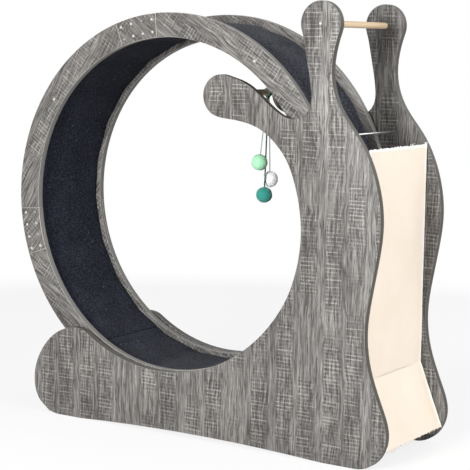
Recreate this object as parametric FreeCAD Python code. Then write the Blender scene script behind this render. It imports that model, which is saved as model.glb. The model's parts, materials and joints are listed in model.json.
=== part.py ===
import FreeCAD, Part
import math
import os

Vector = FreeCAD.Vector

# Cat exercise wheel: a slatted running wheel that turns on four grooved rollers
# between two snail-shaped side panels.
# Millimetres.  While it is drawn, the wheel's axis is the Y axis and X, Z are
# measured from it; save() then stands the part on the floor.

# ---- driving sizes -------------------------------------------------------

board = 16.0                  # laminated board of the panels, rings and slats

wheel_radius = 450.0          # outer rim of the two rings
ring_band = 57.0              # radial width of a ring
slat_length = 232.0           # clear width of the running track
slat_count = 24
slat_joint = 0.5              # gap between two neighbouring slats
track_setback = 10.5          # from the ring's inner edge to the flat of the carpet
carpet_thickness = 5.0
quarter_count = 4             # each ring is made of this many segments
first_splice = 12.3           # degrees, middle of the first joint between segments
splice_thickness = 8.0        # flush plate let into the ring's outer face

wheel_height = 542.5          # wheel axis above the floor
side_gap = 9.0                # between a ring and the side panel next to it
floor_arch = 10.5             # height of the shallow arch under a side panel
tail_flat = 72.0              # from under the tail axle outward, the panel stands on the floor
tail_corner_reach = 97.0
tail_corner_rise = 4.5
foot_flat = 85.0              # length on the floor under the foot
foot_flat_margin = 80.0       # its outer end, past the wheel's rim
cradle_left = -124.0          # degrees, ends of the round cut-out of a side panel
cradle_right = -30.0

# A side panel's outline follows the wheel: margins are distances past the rim, negative
# inside it, and angles are degrees above +X at the wheel's axis.
toe_margin = 125.0
toe_rise = 16.0
foot_margin = 155.0           # furthest point of a side panel
foot_bulge_rise = 77.0
back_margins = (262.0, 190.5, 145.1, 128.5, 126.2, 128.8, 122.5, 102.2, 82.8, 94.6, 127.2)
back_angles = (-34.33, -29.67, -23.26, -16.21, -7.68, -0.49, 8.5, 18.89, 26.94, 33.81, 38.21)
neck_margins = (82.6, 60.5, 38.6, 19.7, -2.7, -33.1, -56.0, -70.8, -79.3)
neck_angles = (43.8, 39.63, 34.97, 31.94, 30.6, 31.36, 35.09, 43.54, 52.81)
chin_margins = (-168.0, -141.9, -114.1, -98.8, -88.0, -79.8, -71.5, -64.7, -60.0)
chin_angles = (48.54, 41.79, 33.83, 27.29, 21.43, 12.58, 1.64, -8.99, -19.94)
tail_margins = (-41.0, 14.1, 79.2, 147.8, 181.6)
tail_angles = (-129.11, -133.18, -133.23, -130.13, -125.69)

ball_margin = 148.9           # knob of the tall antenna
ball_angle = 45.34            # degrees
ball_radius = 49.5
tip_margin = -139.5           # rounded end of the curled antenna
tip_angle = 57.9              # degrees
tip_radius = 48.0

tread_radius = 30.0           # roller under a ring
groove_depth = 7.0
groove_play = 0.3             # on each side of the ring
roller_lip = 4.2              # thickness of a roller's side lip
roller_angle = 30.0           # degrees each side of the lowest point
rolling_gap = 0.3
bearing_radius = 11.0
bearing_width = 7.0
bearing_play = 0.05
bearing_land = 2.0            # shoulder that a bearing rests against
race_width = 2.2              # radial width of a bearing's race
shield_depth = 0.5
axle_radius = 4.0
running_play = 0.05
roller_end_play = 0.5
collar_radius = 8.0
collar_width = 8.0
socket_radius = 18.0
spigot_radius = 9.0
spigot_depth = 10.0
socket_floor = 1.5
edge_break = 1.5              # chamfers of the moulded parts
groove_break = 1.2
flange_break = 1.0

dowel_radius = 7.5
toy_dowel_margin = -137.2
toy_dowel_angle = 58.6        # degrees
tie_rod_margin = 43.2
tie_rod_angle = 21.78         # degrees
tie_rod_radius = 2.6
tie_rod_depth = 8.0

cover_top = 157.0             # scratching surface: heights from the wheel axis
cover_crease = -350.0
cover_margin = 89.0           # its upper face and its lower end, past the wheel's rim
cover_foot_margin = 148.0
cover_floor_gap = 44.5
cover_thickness = 4.0
cover_overhang = 4.0          # the cover stands this much past the ends of its boards
scratch_board = 12.0
batten = 18.0
batten_end_gap = 22.0

cross_board_height = 100.0
tail_cross_reach = 105.0      # outer face of the board past the tail axle
tail_cross_rise = 37.5
foot_cross_reach = 90.0       # inner face of the board past the foot axle
foot_cross_rise = 12.5

screw_head_radius = 4.0
screw_head_height = 1.2
screw_head_sides = 12         # of the many small heads on the rings
screw_radius = 2.2
screw_length = 46.0
screw_play = 0.05
splice_screw_angles = (-6.0, -2.0, 2.0, 6.0)
splice_screw_inset = 14.0     # from either edge of a ring to its row of screws
slat_screw_angle = 2.15       # each side of the middle of a segment

toy_radius = 19.5
seat_flat = 0.4               # flat where a cord meets its ball or knot
loop_play = 0.4
knot_swell = 1.8              # a knot's radius against its cord's
overcut = 1.0                 # how far a cut runs past the face it opens

# ---- sizes that follow ---------------------------------------------------

ring_inner_radius = wheel_radius - ring_band
carpet_apothem = ring_inner_radius + track_setback
slat_apothem = carpet_apothem + carpet_thickness
outer_carpet_apothem = slat_apothem + board
track_half = slat_length / 2
ring_face = track_half + board
panel_face = ring_face + side_gap
panel_back = panel_face + board
slat_pitch = 360.0 / slat_count
quarter = 360.0 / quarter_count

roller_distance = wheel_radius + tread_radius + rolling_gap
ring_middle = track_half + board / 2
roller_half = board / 2 + groove_play + roller_lip
roller_x = roller_distance * math.sin(math.radians(roller_angle))
roller_z = -roller_distance * math.cos(math.radians(roller_angle))
socket_inner = ring_middle + roller_half + roller_end_play
axle_half = panel_face + spigot_depth - socket_floor

floor = -wheel_height
foot_reach = wheel_radius + foot_margin
cover_reach = wheel_radius + cover_margin
cover_foot_reach = wheel_radius + cover_foot_margin
cover_bottom = floor + cover_floor_gap
origin = Vector((wheel_radius - foot_reach) / 2, 0, wheel_height)


# ---- helpers -------------------------------------------------------------

def polar(radius, degrees):
    """Point (x, z) at an angle above +X."""
    angle = math.radians(degrees)
    return radius * math.cos(angle), radius * math.sin(angle)


ball_center = polar(wheel_radius + ball_margin, ball_angle)
tip_center = polar(wheel_radius + tip_margin, tip_angle)
toy_dowel = polar(wheel_radius + toy_dowel_margin, toy_dowel_angle)
tie_rod = polar(wheel_radius + tie_rod_margin, tie_rod_angle)


def at(point, y=0.0):
    return Vector(point[0], y, point[1])


def line(a, b):
    return Part.LineSegment(at(a), at(b)).toShape()


def arc(a, middle, b):
    return Part.Arc(at(a), at(middle), at(b)).toShape()


def smooth(points, first_direction, last_direction):
    """Smooth edge through points, with the given directions at its ends."""
    curve = Part.BSplineCurve()
    curve.interpolate(
        Points=[at(point) for point in points],
        InitialTangent=at(first_direction),
        FinalTangent=at(last_direction),
        Scale=False,
    )
    return curve.toShape()


def plate(edges, y_low, y_high):
    """Solid between two heights of Y, from a closed outline in the XZ plane."""
    face = Part.Face(Part.Wire(edges))
    face.translate(Vector(0, y_low, 0))
    return face.extrude(Vector(0, y_high - y_low, 0))


def polygon(points, y_low, y_high):
    ends = points[1:] + points[:1]
    return plate([line(a, b) for a, b in zip(points, ends)], y_low, y_high)


def prism(radius, sides, center, y_low, y_high):
    corners = [polar(radius, 360.0 * i / sides) for i in range(sides)]
    return polygon([(center[0] + x, center[1] + z) for x, z in corners], y_low, y_high)


def cylinder(radius, center, y_low, y_high):
    return Part.makeCylinder(radius, y_high - y_low, at(center, y_low), Vector(0, 1, 0))


def mirrored(shape):
    """The same piece on the other side of the wheel."""
    return shape.mirror(Vector(0, 0, 0), Vector(0, 1, 0))


def save(name, *shapes):
    piece = shapes[0] if len(shapes) == 1 else Part.makeCompound(list(shapes))
    piece.translate(origin)
    piece.exportStep("parts/" + name + ".step")


# ---- wheel ---------------------------------------------------------------

def sector(inner, outer, start, end, y_low, y_high):
    """Piece of a flat ring between two angles."""
    middle = (start + end) / 2
    edges = [
        arc(polar(outer, start), polar(outer, middle), polar(outer, end)),
        line(polar(outer, end), polar(inner, end)),
        arc(polar(inner, end), polar(inner, middle), polar(inner, start)),
        line(polar(inner, start), polar(outer, start)),
    ]
    return plate(edges, y_low, y_high)


def ring_segment(splice):
    """Quarter of a ring, rebated at both ends for the flush splice plates."""
    half_plate = slat_pitch / 2
    overrun = 1.0    # degrees
    end = splice + quarter
    segment = sector(ring_inner_radius, wheel_radius, splice, end, track_half, ring_face)
    rebates = [
        sector(ring_inner_radius - overcut, wheel_radius + overcut, start, start + half_plate + overrun,
               ring_face - splice_thickness, ring_face + overcut)
        for start in (splice - overrun, end - half_plate)
    ]
    return segment.cut(rebates[0]).cut(rebates[1])


def splice_plate(splice):
    half_plate = slat_pitch / 2
    return sector(ring_inner_radius, wheel_radius, splice - half_plate, splice + half_plate,
                  ring_face - splice_thickness, ring_face)


def slat(middle):
    """One board of the track; its long edges are mitred against its neighbours."""
    half_pitch = math.radians(slat_pitch / 2)
    corners = []
    for apothem, side in ((slat_apothem, -1), (outer_carpet_apothem, -1),
                          (outer_carpet_apothem, 1), (slat_apothem, 1)):
        half_width = apothem * math.tan(half_pitch) - slat_joint / 2
        angle = math.degrees(math.atan2(side * half_width, apothem))
        corners.append(polar(math.hypot(apothem, half_width), middle + angle))
    return polygon(corners, -track_half, track_half)


def carpet_band(apothem):
    """Carpet strip laid round the flats of the slats."""
    def ring_of_corners(flat):
        radius = flat / math.cos(math.radians(slat_pitch / 2))
        first = first_splice + slat_pitch / 2
        return [polar(radius, first + slat_pitch * i) for i in range(slat_count)]
    outside = polygon(ring_of_corners(apothem + carpet_thickness), -track_half, track_half)
    inside = polygon(ring_of_corners(apothem), -track_half - overcut, track_half + overcut)
    return outside.cut(inside)


def ring_screws():
    """Screw heads on a ring: two rows at each splice, one pair at each segment's middle."""
    places = []
    for i in range(quarter_count):
        splice = first_splice + quarter * i
        for angle in splice_screw_angles:
            places.append(polar(ring_inner_radius + splice_screw_inset, splice + angle))
            places.append(polar(wheel_radius - splice_screw_inset, splice + angle))
        for side in (-1, 1):
            angle = splice + quarter / 2 + side * slat_screw_angle
            places.append(polar(slat_apothem + board / 2, angle))
    return [
        prism(screw_head_radius, screw_head_sides, place, ring_face, ring_face + screw_head_height)
        for place in places
    ]


def build_wheel():
    far_screws = ring_screws()
    save("far_ring_screws", *far_screws)
    save("near_ring_screws", *[mirrored(head) for head in ring_screws()])
    for i in range(quarter_count):
        splice = first_splice + quarter * i
        number = str(i + 1)
        save("far_ring_segment_" + number, ring_segment(splice))
        save("near_ring_segment_" + number, mirrored(ring_segment(splice)))
        slats = [
            slat(splice + slat_pitch * j) for j in range(slat_count // quarter_count)
        ]
        save("track_slats_" + number, *slats)
    splices = [first_splice + quarter * i for i in range(quarter_count)]
    save("far_splice_plates", *[splice_plate(splice) for splice in splices])
    save("near_splice_plates", *[mirrored(splice_plate(splice)) for splice in splices])
    save("inner_carpet", carpet_band(carpet_apothem))
    save("outer_carpet", carpet_band(outer_carpet_apothem))


# ---- side panels ---------------------------------------------------------

def circle_point(center, radius, degrees):
    x, z = polar(radius, degrees)
    return center[0] + x, center[1] + z


def heading(degrees, turn=1):
    """Direction along a circle at an angle: turn 1 is anticlockwise, -1 clockwise."""
    angle = math.radians(degrees)
    return -turn * math.sin(angle), turn * math.cos(angle)


def past_rim(margins, angles):
    return [polar(wheel_radius + margin, angle) for margin, angle in zip(margins, angles)]


def panel_outline():
    """Snail outline, anticlockwise from the corner under the tail."""
    cradle = ring_inner_radius
    tail_corner = (-roller_x - tail_corner_reach, floor + tail_corner_rise)
    tail_start = (-roller_x - tail_flat, floor)
    arch_start = (-roller_x, floor)
    foot_start = (wheel_radius + foot_flat_margin, floor)
    arch_end = (foot_start[0] - foot_flat, floor)
    arch_top = ((arch_start[0] + arch_end[0]) / 2, floor + floor_arch)
    toe = (wheel_radius + toe_margin, floor + toe_rise)
    foot_bulge = (foot_reach, floor + foot_bulge_rise)

    ball_right, ball_left = -20.0, 200.0
    tip_top, tip_bottom = 73.0, 250.0
    knob = [circle_point(ball_center, ball_radius, angle)
            for angle in (ball_right, (ball_right + ball_left) / 2, ball_left)]
    tip = [circle_point(tip_center, tip_radius, angle)
           for angle in (tip_top, (tip_top + tip_bottom) / 2, tip_bottom)]
    cut_out = [polar(cradle, angle)
               for angle in (cradle_right, (cradle_right + cradle_left) / 2, cradle_left)]

    back = [foot_start, toe, foot_bulge, *past_rim(back_margins, back_angles), knob[0]]
    neck = [knob[2], *past_rim(neck_margins, neck_angles), tip[0]]
    chin = [tip[2], *past_rim(chin_margins, chin_angles), cut_out[0]]
    tail = [cut_out[2], *past_rim(tail_margins, tail_angles), tail_corner]
    return [
        line(tail_corner, tail_start),
        line(tail_start, arch_start),
        arc(arch_start, arch_top, arch_end),
        line(arch_end, foot_start),
        smooth(back, (1, 0), heading(ball_right)),
        arc(*knob),
        smooth(neck, heading(ball_left), heading(tip_top)),
        arc(*tip),
        smooth(chin, heading(tip_bottom), heading(cradle_right, -1)),
        arc(*cut_out),
        smooth(tail, heading(cradle_left, -1), (0.75, -0.66)),
    ]


def side_panel():
    panel = plate(panel_outline(), panel_face, panel_back)
    for side in (-1, 1):
        panel = panel.cut(cylinder(spigot_radius + running_play, (side * roller_x, roller_z),
                                   panel_face - overcut, panel_face + spigot_depth))
    for center in (ball_center, toy_dowel):
        panel = panel.cut(cylinder(screw_radius + screw_play, center,
                                   panel_face - overcut, panel_back + overcut))
    return panel.cut(cylinder(tie_rod_radius + running_play, tie_rod,
                              panel_face - overcut, panel_face + tie_rod_depth))


def build_panels():
    save("far_side_panel", side_panel())
    save("near_side_panel", mirrored(side_panel()))


# ---- rollers -------------------------------------------------------------

def turned(profile, center, y):
    """Body of revolution about a line along Y, from (radius, height) corners."""
    corners = [Vector(radius, height, 0) for radius, height in profile]
    wire = Part.makePolygon(corners + corners[:1])
    body = Part.Face(wire).revolve(Vector(0, 0, 0), Vector(0, 1, 0), 360)
    body.translate(at(center, y))
    return body


def roller(center, y):
    """Roller with a groove for the ring and a recess at each end for a bearing."""
    lip = tread_radius + groove_depth
    groove = board / 2 + groove_play
    recess = roller_half - bearing_width
    seat = bearing_radius + bearing_play
    land = bearing_radius - bearing_land
    upper = [(land, recess), (seat, recess), (seat, roller_half), (lip - edge_break, roller_half),
             (lip, roller_half - edge_break), (lip, groove + groove_break),
             (lip - groove_break, groove), (tread_radius, groove)]
    lower = [(radius, -height) for radius, height in reversed(upper)]
    return turned(upper + lower, center, y)


def bearing(center, y, side):
    """Ball bearing with its shield sunk between the races on the face that shows."""
    outer, inner = bearing_radius, axle_radius + running_play
    inner_race, outer_race = inner + race_width, outer - race_width
    face = side * roller_half
    shield = face - side * shield_depth
    back = face - side * bearing_width
    profile = [
        (inner, back), (outer, back), (outer, face), (outer_race, face),
        (outer_race, shield), (inner_race, shield), (inner_race, face), (inner, face),
    ]
    return turned(profile, center, y)


def axle_socket(center):
    """Flanged plastic socket: its spigot sits in the panel, its bore takes the axle's end."""
    bore = axle_radius + running_play
    top = panel_face + spigot_depth
    bottom = top - socket_floor + running_play
    profile = [
        (0, top), (0, bottom), (bore, bottom), (bore, socket_inner),
        (socket_radius - flange_break, socket_inner), (socket_radius, socket_inner + flange_break),
        (socket_radius, panel_face), (spigot_radius, panel_face), (spigot_radius, top),
    ]
    return turned(profile, center, 0)


def axle_collar(center):
    outer_end = ring_middle - roller_half - roller_end_play
    ring = cylinder(collar_radius, center, outer_end - collar_width, outer_end)
    return ring.cut(cylinder(axle_radius + running_play, center, 0, outer_end + overcut))


def build_rollers():
    sockets, collars = [], []
    for end, x in (("tail", -roller_x), ("foot", roller_x)):
        center = (x, roller_z)
        save(end + "_axle", cylinder(axle_radius, center, -axle_half, axle_half))
        for side, y in (("near", -ring_middle), ("far", ring_middle)):
            save(side + "_" + end + "_roller", roller(center, y))
            save(side + "_" + end + "_bearings", bearing(center, y, -1), bearing(center, y, 1))
        sockets += [axle_socket(center), mirrored(axle_socket(center))]
        collars += [axle_collar(center), mirrored(axle_collar(center))]
    save("axle_sockets", *sockets)
    save("axle_collars", *collars)


# ---- scratching surface and cross members --------------------------------

def unit(a, b):
    dx, dz = b[0] - a[0], b[1] - a[1]
    length = math.hypot(dx, dz)
    return dx / length, dz / length


def cover_line(depth, overhang=0.0):
    """Top, crease and bottom of a layer this deep under the scratching surface."""
    top = (cover_reach, cover_top)
    crease = (cover_reach, cover_crease)
    bottom = (cover_foot_reach, cover_bottom)
    slope = unit(crease, bottom)
    lean = math.atan2(slope[0], -slope[1])
    crease_drop = depth * math.tan(lean / 2)
    return [
        (top[0] - depth, top[1] - overhang),
        (crease[0] - depth, crease[1] - crease_drop),
        (bottom[0] + slope[1] * depth - slope[0] * overhang,
         bottom[1] - slope[0] * depth - slope[1] * overhang),
    ]


def build_scratching_surface():
    half = panel_face
    face = cover_line(0)
    under = cover_line(cover_thickness)
    save("scratch_cover", polygon(face + under[::-1], -half, half))

    front = cover_line(cover_thickness, cover_overhang)
    back = cover_line(cover_thickness + scratch_board, cover_overhang)
    save("upper_scratch_board", polygon([front[0], front[1], back[1], back[0]], -half, half))
    save("lower_scratch_board", polygon([front[1], front[2], back[2], back[1]], -half, half))

    behind = cover_line(cover_thickness + scratch_board, cover_overhang)
    deep = cover_line(cover_thickness + scratch_board + batten, cover_overhang)
    battens = []
    for i in (0, 1):
        along = unit(behind[i], behind[i + 1])
        shift = (along[0] * batten_end_gap, along[1] * batten_end_gap)
        corners = [
            (behind[i][0] + shift[0], behind[i][1] + shift[1]),
            (behind[i + 1][0] - shift[0], behind[i + 1][1] - shift[1]),
            (deep[i + 1][0] - shift[0], deep[i + 1][1] - shift[1]),
            (deep[i][0] + shift[0], deep[i][1] + shift[1]),
        ]
        piece = polygon(corners, half - batten, half)
        battens += [piece, mirrored(piece)]
    save("scratch_board_battens", *battens)


def build_cross_members():
    tail_place = (-roller_x - tail_cross_reach, floor + tail_cross_rise)
    foot_place = (roller_x + foot_cross_reach, floor + foot_cross_rise)
    for name, low in (("tail_cross_board", tail_place), ("foot_cross_board", foot_place)):
        save(name, Part.makeBox(board, 2 * panel_face, cross_board_height, at(low, -panel_face)))
    save("tie_rod", cylinder(tie_rod_radius, tie_rod, -panel_face - tie_rod_depth,
                             panel_face + tie_rod_depth))


# ---- dowels and hanging toys ---------------------------------------------

def dowel(center):
    """Wooden dowel with a screw hole in each end."""
    rod = cylinder(dowel_radius, center, -panel_face, panel_face)
    hole_end = panel_back - screw_length - overcut
    hole = cylinder(screw_radius + screw_play, center, hole_end, panel_face + overcut)
    return rod.cut(hole).cut(mirrored(hole))


def dowel_screw(center):
    shank = cylinder(screw_radius, center, panel_back - screw_length, panel_back)
    head = cylinder(screw_head_radius, center, panel_back, panel_back + screw_head_height)
    return shank.fuse(head).removeSplitter()


def hanging_toy(name, knot_y, ball_y, hang, cord_radius):
    """Felt ball on a cord that is tied in a loop round the toy dowel.

    The loops sit close together, and the balls push each other aside, so the cords lean.
    """
    ring_radius = dowel_radius + loop_play + cord_radius
    loop = Part.makeTorus(ring_radius, cord_radius, at(toy_dowel, knot_y), Vector(0, 1, 0))
    knot_radius = knot_swell * cord_radius
    knot_drop = dowel_radius + 2 * loop_play + knot_radius
    knot_center = at(toy_dowel, knot_y) - Vector(0, 0, knot_drop)
    center = at(toy_dowel, ball_y) - Vector(0, 0, hang)
    down = (center - knot_center).normalize()

    knot_end = knot_center + down * (knot_radius - cord_radius / 2)
    cord_end = center - down * (toy_radius - seat_flat)
    knot = Part.makeSphere(knot_radius, knot_center)
    below_knot = Part.makeCylinder(knot_radius, knot_radius, knot_end, down)
    above_ball = Part.makeCylinder(toy_radius, toy_radius, cord_end, down * -1)
    cord_length = (cord_end - knot_end).Length
    save(name + "_loop", loop.fuse(knot).cut(below_knot))
    save(name + "_cord", Part.makeCylinder(cord_radius, cord_length, knot_end, down))
    save(name + "_ball", Part.makeSphere(toy_radius, center).cut(above_ball))
    print(name, "cord, straight for", round(cord_length, 1))


def build_dowels_and_toys():
    save("antenna_dowel", dowel(ball_center))
    save("toy_dowel", dowel(toy_dowel))
    screws = [dowel_screw(center) for center in (ball_center, toy_dowel)]
    save("dowel_screws", *screws, *[mirrored(screw) for screw in screws])
    hanging_toy("light_green", knot_y=44.0, ball_y=16.5, hang=165.0, cord_radius=1.2)
    hanging_toy("dark_green", knot_y=49.7, ball_y=39.5, hang=244.0, cord_radius=1.7)
    hanging_toy("white", knot_y=55.0, ball_y=64.5, hang=208.0, cord_radius=1.0)


os.makedirs("parts", exist_ok=True)
build_wheel()
build_panels()
build_rollers()
build_scratching_surface()
build_cross_members()
build_dowels_and_toys()
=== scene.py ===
import json
import math
import random

import bpy
from mathutils import Matrix, Vector, noise


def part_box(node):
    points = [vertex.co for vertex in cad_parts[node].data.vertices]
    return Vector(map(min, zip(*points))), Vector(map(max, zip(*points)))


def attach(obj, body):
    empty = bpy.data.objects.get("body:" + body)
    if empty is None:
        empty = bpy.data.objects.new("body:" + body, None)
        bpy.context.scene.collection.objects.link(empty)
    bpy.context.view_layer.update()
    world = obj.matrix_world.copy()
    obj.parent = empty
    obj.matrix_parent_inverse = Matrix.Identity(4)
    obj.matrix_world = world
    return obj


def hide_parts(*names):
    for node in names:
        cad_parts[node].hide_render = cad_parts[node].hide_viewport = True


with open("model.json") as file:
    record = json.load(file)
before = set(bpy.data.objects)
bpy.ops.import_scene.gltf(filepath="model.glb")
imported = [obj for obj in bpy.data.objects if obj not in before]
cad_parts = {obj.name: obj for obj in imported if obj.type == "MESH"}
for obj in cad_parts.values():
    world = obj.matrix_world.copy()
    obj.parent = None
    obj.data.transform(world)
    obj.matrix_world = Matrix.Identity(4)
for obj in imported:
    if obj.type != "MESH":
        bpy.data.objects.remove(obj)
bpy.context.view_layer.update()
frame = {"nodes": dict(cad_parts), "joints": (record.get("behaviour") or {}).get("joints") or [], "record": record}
nodes = frame["nodes"]
joints = {joint["name"]: joint for joint in frame["joints"]}
bodyOf = {node: body for body, names in frame["record"]["behaviour"]["bodies"].items() for node in names}
wheelCenter = Vector(joints["wheel_spin"]["pos_m"])
sides = ("near", "far")
merging = {"distance": 2e-5, "flatDegrees": 0.4}  # of the facets in a copy of a CAD node
print("frame loaded,", len(nodes), "nodes")


# working with pieces

def camelName(name):
    words = name.split("_")
    return words[0] + "".join(word.title() for word in words[1:])


def newObject(name, data):
    holder = bpy.data.objects.new(name, data)
    bpy.context.scene.collection.objects.link(holder)
    return holder


def deselectAll():
    if bpy.context.object and bpy.context.object.mode != "OBJECT":
        bpy.ops.object.mode_set(mode="OBJECT")
    bpy.ops.object.select_all(action="DESELECT")


def activate(piece):
    deselectAll()
    bpy.context.view_layer.objects.active = piece
    piece.select_set(True)


def editAll(piece, *steps):
    # mesh operators, one after another, on the whole piece
    activate(piece)
    bpy.ops.object.mode_set(mode="EDIT")
    bpy.ops.mesh.select_all(action="SELECT")
    for step in steps:
        step()
    bpy.ops.object.mode_set(mode="OBJECT")


def applyModifier(piece, kind, **settings):
    activate(piece)
    modifier = piece.modifiers.new(kind, kind)
    for key, value in settings.items():
        setattr(modifier, key, value)
    bpy.ops.object.modifier_apply(modifier=modifier.name)


def roundEdges(piece, width, degrees=50, **settings):
    applyModifier(piece, "BEVEL", width=width, segments=2, limit_method="ANGLE",
                  angle_limit=math.radians(degrees), **settings)


def startPiece(name):
    # the primitive that was just added, with its place moved into its mesh
    bpy.ops.object.transform_apply(location=True, rotation=True, scale=True)
    piece = bpy.context.object
    piece.name = name
    piece.data.name = name
    return piece


def smoothShade(piece, degrees=35):
    activate(piece)
    bpy.ops.object.shade_smooth_by_angle(angle=math.radians(degrees))


def selectNone(piece, kind):
    activate(piece)
    bpy.ops.object.mode_set(mode="EDIT")
    bpy.ops.mesh.select_mode(type=kind)
    bpy.ops.mesh.select_all(action="DESELECT")
    bpy.ops.object.mode_set(mode="OBJECT")


def selectFaces(piece, wanted):
    # leaves the piece in edit mode with only the wanted faces selected
    selectNone(piece, "FACE")
    for face in piece.data.polygons:
        face.select = wanted(face)
    bpy.ops.object.mode_set(mode="EDIT")


def selectEdges(piece, wanted):
    # leaves the piece in edit mode with only the wanted edges selected
    selectNone(piece, "EDGE")
    points = piece.data.vertices
    for edge in piece.data.edges:
        edge.select = wanted(points[edge.vertices[0]].co, points[edge.vertices[1]].co)
    bpy.ops.object.mode_set(mode="EDIT")


def copyOf(nodeName, pieceName):
    # a merged copy of a CAD node, to be finished and shown in its place
    piece = newObject(pieceName, nodes[nodeName].data.copy())
    piece.data.name = pieceName
    piece.data.materials.clear()
    editAll(piece, lambda: bpy.ops.mesh.remove_doubles(threshold=merging["distance"]),
            lambda: bpy.ops.mesh.dissolve_limited(angle_limit=math.radians(merging["flatDegrees"])))
    return piece


def looseParts(piece):
    # each separate solid of the piece as an object
    editAll(piece, lambda: bpy.ops.mesh.separate(type="LOOSE"))
    return list(bpy.context.selected_objects)


def newCurve(name, thickness, steps, caps=True):
    curve = bpy.data.curves.new(name, "CURVE")
    curve.dimensions = "3D"
    curve.bevel_depth = thickness
    curve.bevel_resolution = steps
    curve.use_fill_caps = caps
    return curve


def addSpline(curve, kind, places, radii=None):
    spline = curve.splines.new(kind)
    spline.points.add(len(places) - 1)
    for index, place in enumerate(places):
        spline.points[index].co = (*place, 1)
        if radii:
            spline.points[index].radius = radii[index]
    return spline


def meshOf(name, curve):
    activate(newObject(name, curve))
    bpy.ops.object.convert(target="MESH")
    return bpy.context.object


def finishPiece(piece, body, nodeName):
    # the piece moves with its body and stands in for a CAD node
    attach(piece, body)
    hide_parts(nodeName)


# shader building

def setInputs(tree, node, inputs):
    # each input is linked to a socket or holds a value
    for key, value in inputs.items():
        if isinstance(value, bpy.types.NodeSocket):
            tree.links.new(value, node.inputs[key])
        else:
            node.inputs[key].default_value = value


def addNode(tree, kind, inputs=None, **settings):
    node = tree.nodes.new(kind)
    for key, value in settings.items():
        setattr(node, key, value)
    setInputs(tree, node, inputs or {})
    return node


def mathOf(tree, operation, *values):
    return addNode(tree, "ShaderNodeMath", dict(enumerate(values)), operation=operation).outputs[0]


def times(tree, first, second):
    return mathOf(tree, "MULTIPLY", first, second)


def timesAdd(tree, first, second, third):
    # the first two multiplied, plus the third
    return mathOf(tree, "MULTIPLY_ADD", first, second, third)


def smoothStep(tree, value, low, high):
    node = addNode(tree, "ShaderNodeMapRange", {"Value": value, "From Min": low, "From Max": high},
                   interpolation_type="SMOOTHSTEP")
    return node.outputs["Result"]


def mixColor(tree, share, first, second, blend="MIX"):
    first, second = (value if isinstance(value, bpy.types.NodeSocket) else (*value, 1)
                     for value in (first, second))
    return addNode(tree, "ShaderNodeMix", {0: share, 6: first, 7: second}, data_type="RGBA",
                   blend_type=blend, clamp_factor=True).outputs[2]


def noiseOf(tree, vector, scale=1.0, detail=2.0, roughness=0.5):
    return addNode(tree, "ShaderNodeTexNoise", {"Vector": vector, "Scale": scale, "Detail": detail,
                                                "Roughness": roughness}).outputs[0]


def partsOf(tree, vector):
    return addNode(tree, "ShaderNodeSeparateXYZ", {0: vector}).outputs


def stretched(tree, x, y, z, scaleX, scaleY, scaleZ):
    # a vector of scaled coordinates, for grain and marks
    return addNode(tree, "ShaderNodeCombineXYZ", {
        "X": times(tree, x, scaleX), "Y": times(tree, y, scaleY), "Z": times(tree, z, scaleZ),
    }).outputs[0]


def toned(color, factor):
    return tuple(channel * factor for channel in color)


def newGroup(name, inputs, outputs):
    group = bpy.data.node_groups.new(name, "ShaderNodeTree")
    for socketName, kind, value in inputs:
        socket = group.interface.new_socket(socketName, in_out="INPUT", socket_type=kind)
        if value is not None:
            socket.default_value = value
    for socketName, kind in outputs:
        group.interface.new_socket(socketName, in_out="OUTPUT", socket_type=kind)
    start = group.nodes.new("NodeGroupInput")
    end = group.nodes.new("NodeGroupOutput")
    return group, start.outputs, end.inputs


def useGroup(tree, group, inputs):
    return addNode(tree, "ShaderNodeGroup", inputs, node_tree=group).outputs


def newMaterial(name):
    # a material with its shader and the object coordinates that its pattern lies on
    material = bpy.data.materials.new(name)
    material.use_nodes = True
    tree = material.node_tree
    place = addNode(tree, "ShaderNodeTexCoord").outputs["Object"]
    return material, tree, tree.nodes["Principled BSDF"], place


def addBump(tree, shader, height, distance, strength=1.0):
    bump = addNode(tree, "ShaderNodeBump", {"Height": height, "Strength": strength, "Distance": distance})
    tree.links.new(bump.outputs["Normal"], shader.inputs["Normal"])


# shared effects

oakPrint = {
    "dark": (0.048, 0.045, 0.042), "middle": (0.140, 0.134, 0.127), "light": (0.300, 0.290, 0.275),
    "darkAt": 0.10, "middleAt": 0.52, "lightAt": 0.98, "warmTint": (1.0, 0.96, 0.94), "warmth": 0.5,
    "columnWidth": 0.062,  # metres, between columns of saw marks
    "rowPitch": 0.0085,  # metres, between saw marks along the grain
    "rowWander": 1.5, "shortest": 0.50, "longer": 0.30, "leftEdges": 0.20,  # shares of a row or a column
    "waviness": 0.016, "ripple": 0.007,  # metres, how far the grain sways
    "fine": 2.5, "medium": 0.35, "broad": 0.40, "pores": -0.34, "dashes": -0.26, "marks": 0.44,
    "gloss": -0.18, "dullest": 0.62,
}


def centred(tree, value, amount, base):
    # base plus a noise value's distance from its middle, times amount
    return timesAdd(tree, mathOf(tree, "SUBTRACT", value, 0.5), amount, base)


def diceOf(tree, first, second, salt):
    place = addNode(tree, "ShaderNodeCombineXYZ", {0: first, 1: second, 2: salt}).outputs[0]
    return addNode(tree, "ShaderNodeTexWhiteNoise", {"Vector": place}).outputs["Value"]


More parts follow.
